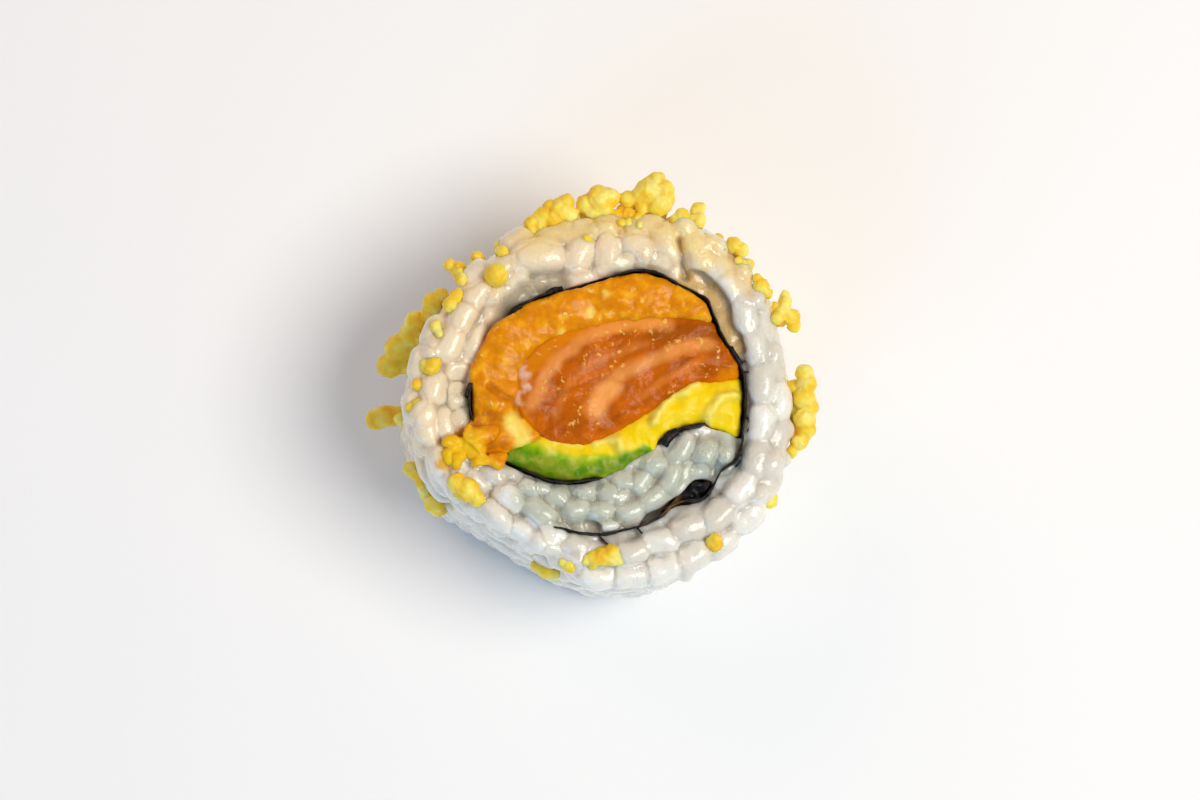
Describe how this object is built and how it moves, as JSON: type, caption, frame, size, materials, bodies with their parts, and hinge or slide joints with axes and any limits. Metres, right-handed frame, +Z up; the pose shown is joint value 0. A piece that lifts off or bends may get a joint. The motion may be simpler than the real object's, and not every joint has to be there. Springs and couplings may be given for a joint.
{
  "type": "uramaki sushi roll slice",
  "caption": "One cut slice of an inside-out sushi roll lying on its cut face: rice with fried crumbs outside, a coiled nori sheet, and mango, salmon and avocado within.",
  "frame": {"origin": "middle of the footprint, on the surface the slice lies on", "axes": "+Z up along the roll's own axis, out of the upper cut face; +X towards the side where the nori's inner end meets its outer turn; +Y across the cut face from the inner rice to the mango"},
  "size_m": [0.044, 0.0426, 0.0244],
  "materials": {
    "rice": "moist, sticky and translucent",
    "nori": "damp pressed seaweed, near black",
    "mango": "wet and juicy",
    "salmon": "raw, wet, with pale bands of fat",
    "avocado": "buttery, yellow turning green at the skin side",
    "fried_crumb": "crisp fried batter, slightly oily"
  },
  "bodies": {
    "root": {"rice": "rice", "nori": "nori", "mango": "mango", "salmon": "salmon", "avocado": "avocado"}
  },
  "joints": []
}
